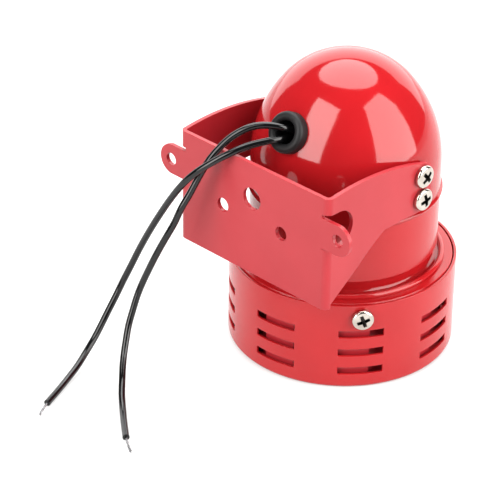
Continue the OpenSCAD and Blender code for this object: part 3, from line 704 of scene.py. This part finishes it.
class SIREN_OT_inner_parts(bpy.types.Operator):
    """Finishes of the motor, the impeller and the nuts, whose shapes come from the frame as they are"""
    bl_idname = "siren.inner_parts"
    bl_label = "Inner Parts"

    def execute(self, context):
        finishes = {
            "bracket_nuts": "Zinc plating", "motor_screws": "Zinc plating", "impeller_nut": "Zinc plating",
            "impeller_washer": "Zinc plating", "motor_can": "Drawn steel can", "magnets": "Ferrite",
            "end_bell": "Moulded nylon", "brushes": "Brush carbon", "brush_springs": "Spring steel",
            "terminals": "Stamped brass", "front_bearing": "Sintered bronze",
            "rear_bearing": "Sintered bronze", "motor_shaft": "Ground steel",
            "armature_core": "Laminated steel", "armature_coils": "Enamelled copper winding",
            "commutator": "Turned copper", "impeller": "Red enamel on sheet"}
        for node, finish in finishes.items():
            for place in NODES[node].material_slots:
                place.material = find_material(finish)
        return {"FINISHED"}


# ---------- studio ----------

WHITE, WARM = (1, 1, 1), (1, 0.98, 0.96)
# name, centre, the point that it faces, width and height, radiance, shape and tint; in metres
SOFT_BOXES = [
    ("Left soft box", (0.04, 0.72, 0.42), (0.01, 0.0, -0.29), (0.48, 0.87), 8.3, "RECTANGLE", WARM),
    ("Right soft box", (-0.77, -0.22, 0.72), (0.0, 0.0, 0.72), (0.84, 1.38), 6.8, "RECTANGLE", WARM),
    ("Top soft box", (0.32, -0.34, 1.0), (0.32, -0.34, 0.0), (1.16, 1.05), 6.6, "ELLIPSE", WHITE),
    ("Back wall light", (1.02, -1.1, 0.66), (0.0, 0.0, 0.66), (3.6, 1.26), 2.5, "RECTANGLE", WHITE)]
ROOM_GLOW = 0.08  # light from all round, which the camera sees as white
FLOOR_HALF = 4.0  # half the floor's width
FLOOR_DROP = 0.0001  # just under the cover's bottom
FLOOR_GLOW = 0.55  # the floor's own light where the siren stands; it reaches 1 far away
PAINTED_SHADOW_SPOT = (0.032, 0.041)  # painted shadow: under the drum the floor's light fades in between these radii
FAR_PAINTED_GLOW = (1.2, 3.0)  # and further out a painted glow rises to white between these
CAMERA_TURN, CAMERA_RISE, CAMERA_ROLL = 224.442, 30.557, 0.761  # degrees
# distance, height of the point it faces on the siren's axis, and how far left and below it stands
CAMERA_AWAY, AIM_Z, ASIDE, BELOW = 0.8, 0.05, 0.032555, 0.01638
LENS, SENSOR = 165.45, 36  # millimetres


def light(name, centre, facing, size, radiance, shape, tint):
    """An area light at centre that faces a point; size is its width and height in metres."""
    data = bpy.data.lights.new(name, "AREA")
    data.shape = shape
    data.size, data.size_y = size
    area = size[0] * size[1] * (pi / 4 if shape == "ELLIPSE" else 1)
    data.energy = radiance * area * pi
    data.color = tint
    made = linked(name, data)
    towards = Vector(facing) - Vector(centre)
    made.matrix_world = Matrix.Translation(centre) @ towards.to_track_quat("-Z", "Y").to_matrix().to_4x4()
    made.visible_camera = False


class SIREN_OT_stage(bpy.types.Operator):
    """Studio: pale floor, soft boxes, white backdrop light and the camera"""
    bl_idname = "siren.stage"
    bl_label = "Stage"

    def execute(self, context):
        self.make_floor()
        self.make_world(context.scene)
        for soft_box in SOFT_BOXES:
            light(*soft_box)
        self.make_camera(context.scene)
        context.scene.view_settings.view_transform = "Standard"
        return {"FINISHED"}

    def make_floor(self):
        bm = bmesh.new()
        bmesh.ops.create_grid(bm, x_segments=1, y_segments=1, size=FLOOR_HALF,
                              matrix=Matrix.Translation((0, 0, -FLOOR_DROP)))
        mesh = bpy.data.meshes.new("floor")
        bm.to_mesh(mesh)
        bm.free()
        floor = linked("floor", mesh)
        tree, place = start_material("White studio floor")
        # a paper sweep: bright, matt, with hardly any tooth
        tooth = add(tree, "ShaderNodeTexNoise", {"Vector": place, "Scale": 1 / (40 * MM), "Detail": 2})
        paper = add(tree, "ShaderNodeMix", {"Factor": tooth.outputs["Fac"], 6: linear("A0A0A0"),
                                            7: linear("A4A4A4")}, data_type="RGBA")
        # the sweep glows evenly, with a painted glow brighter towards its far end and a painted shadow under
        # the drum
        away = add(tree, "ShaderNodeVectorMath", {0: place}, operation="LENGTH").outputs["Value"]
        near, far = [add(tree, "ShaderNodeMapRange", {"Value": away, "From Min": start, "From Max": end,
                                                      "To Min": 0.0, "To Max": gain})
                     for (start, end), gain in ((PAINTED_SHADOW_SPOT, FLOOR_GLOW), (FAR_PAINTED_GLOW, 1.0 - FLOOR_GLOW))]
        glow = add(tree, "ShaderNodeMath", {0: near.outputs["Result"], 1: far.outputs["Result"]},
                   operation="ADD")
        shader = add(tree, "ShaderNodeBsdfPrincipled",
                     {"Base Color": paper.outputs[2], "Roughness": 0.9, "Specular IOR Level": 0.0,
                      "Emission Color": (1, 1, 1, 1), "Emission Strength": glow.outputs["Value"]})
        add(tree, "ShaderNodeOutputMaterial", {"Surface": shader.outputs["BSDF"]})
        mesh.materials.append(bpy.data.materials["White studio floor"])

    def make_world(self, scene):
        world = scene.world or bpy.data.worlds.new("Studio")
        scene.world = world
        world.use_nodes = True
        tree = world.node_tree
        tree.nodes.clear()
        path = add(tree, "ShaderNodeLightPath").outputs["Is Camera Ray"]
        room, seen = [add(tree, "ShaderNodeBackground", {"Color": (1, 1, 1, 1), "Strength": strength})
                      for strength in (ROOM_GLOW, 1.0)]
        both = add(tree, "ShaderNodeMixShader", {0: path, 1: room.outputs[0], 2: seen.outputs[0]})
        add(tree, "ShaderNodeOutputWorld", {"Surface": both.outputs[0]})

    def make_camera(self, scene):
        azimuth, elevation, roll = radians(CAMERA_TURN), radians(CAMERA_RISE), radians(CAMERA_ROLL)
        back = Vector((sin(azimuth) * cos(elevation), -cos(azimuth) * cos(elevation), sin(elevation)))
        right = (-back).cross(Vector((0, 0, 1))).normalized()
        up = right.cross(-back)
        rolled_right = right * cos(roll) + up * sin(roll)
        rolled_up = up * cos(roll) - right * sin(roll)
        spot = Vector((0, 0, AIM_Z)) - right * ASIDE - up * BELOW + back * CAMERA_AWAY
        data = bpy.data.cameras.new("Camera")
        data.lens, data.sensor_width = LENS, SENSOR
        data.clip_start = 0.01
        camera = linked("Camera", data)
        turn = Matrix((rolled_right, rolled_up, back)).transposed().to_4x4()
        camera.matrix_world = Matrix.Translation(spot) @ turn
        scene.camera = camera


class SIREN_PT_pieces(bpy.types.Panel):
    """Lists the siren's pieces, sizes and colours"""
    bl_idname = "SIREN_PT_pieces"
    bl_label = "Motor Siren"
    bl_space_type = "VIEW_3D"
    bl_region_type = "UI"
    bl_category = "Siren"

    def draw(self, context):
        layout = self.layout
        for group in (context.scene.siren_sizes, context.scene.siren_colours):
            box = layout.box()
            for key in group.__annotations__:
                box.prop(group, key)
        for operator in OPERATORS:
            layout.operator(operator.bl_idname)


OPERATORS = (SIREN_OT_stage, SIREN_OT_wires, SIREN_OT_dome_cap, SIREN_OT_body_tube,
             SIREN_OT_drum_base, SIREN_OT_slotted_cover, SIREN_OT_bracket, SIREN_OT_grommet,
             SIREN_OT_screws, SIREN_OT_inner_parts)
CLASSES = (SirenSizes, SirenColours) + OPERATORS + (SIREN_PT_pieces,)


def register():
    for cls in CLASSES:
        bpy.utils.register_class(cls)
    bpy.types.Scene.siren_sizes = PointerProperty(type=SirenSizes)
    bpy.types.Scene.siren_colours = PointerProperty(type=SirenColours)


def unregister():
    del bpy.types.Scene.siren_colours
    del bpy.types.Scene.siren_sizes
    for cls in reversed(CLASSES):
        bpy.utils.unregister_class(cls)


def main():
    """Makes every piece in order."""
    register()
    for operator in OPERATORS:
        group, name = operator.bl_idname.split(".")
        getattr(getattr(bpy.ops, group), name)()


if __name__ == "__main__":
    main()
